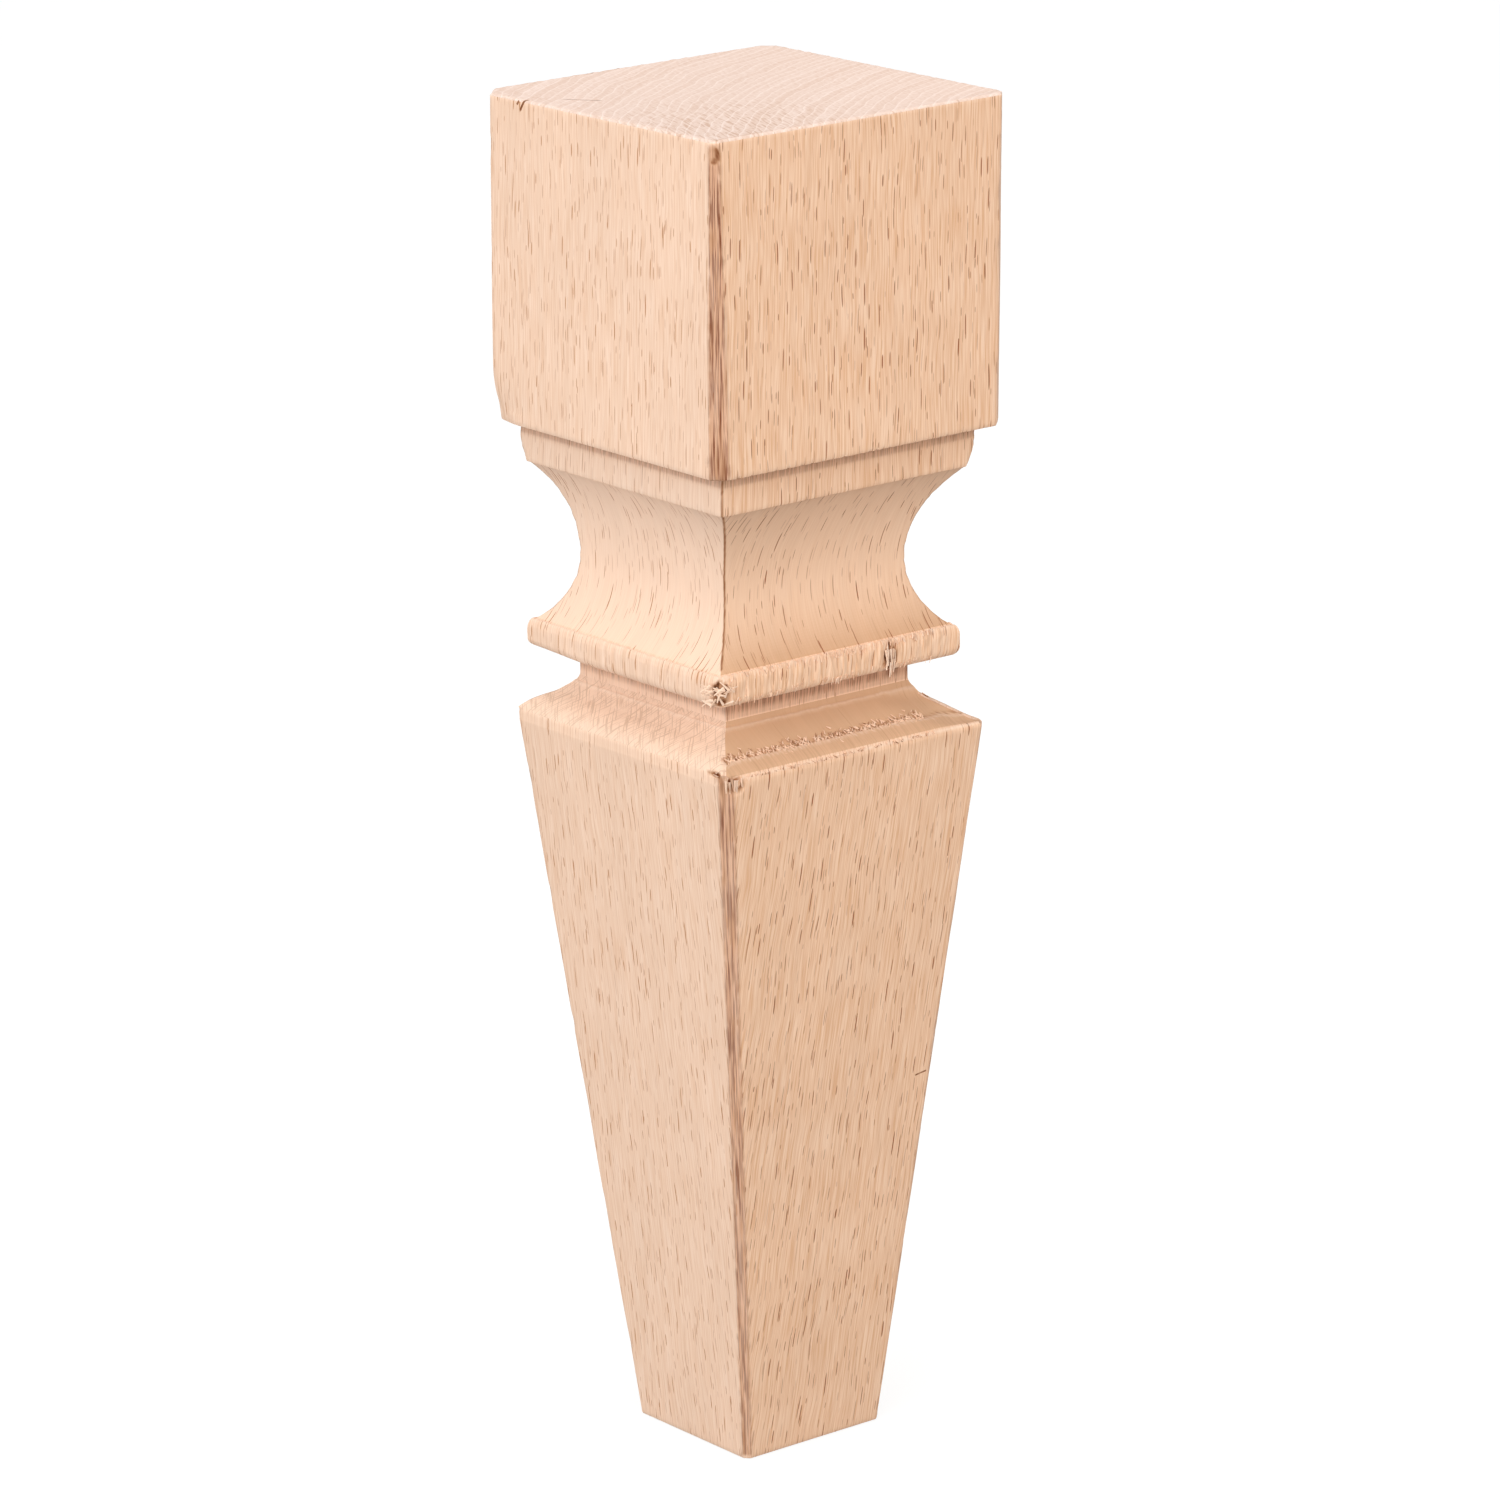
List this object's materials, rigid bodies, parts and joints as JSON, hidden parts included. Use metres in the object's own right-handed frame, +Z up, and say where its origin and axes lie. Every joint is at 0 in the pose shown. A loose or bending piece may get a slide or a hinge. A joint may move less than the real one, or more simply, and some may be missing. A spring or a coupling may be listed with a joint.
{
  "type": "square moulded furniture leg",
  "caption": "Square beech furniture leg with a plain top block, a cove and bead moulding mitred round all sides, and a long taper to a small foot.",
  "frame": {"origin": "centre of the foot, on the plane where it meets the floor", "axes": "+Z up along the leg from the foot to the top block, X and Y square to the flat sides"},
  "size_m": [0.06, 0.06, 0.225],
  "materials": {
    "beech": "raw planed beech, unfinished"
  },
  "bodies": {
    "root": {"leg": "beech"}
  },
  "joints": []
}
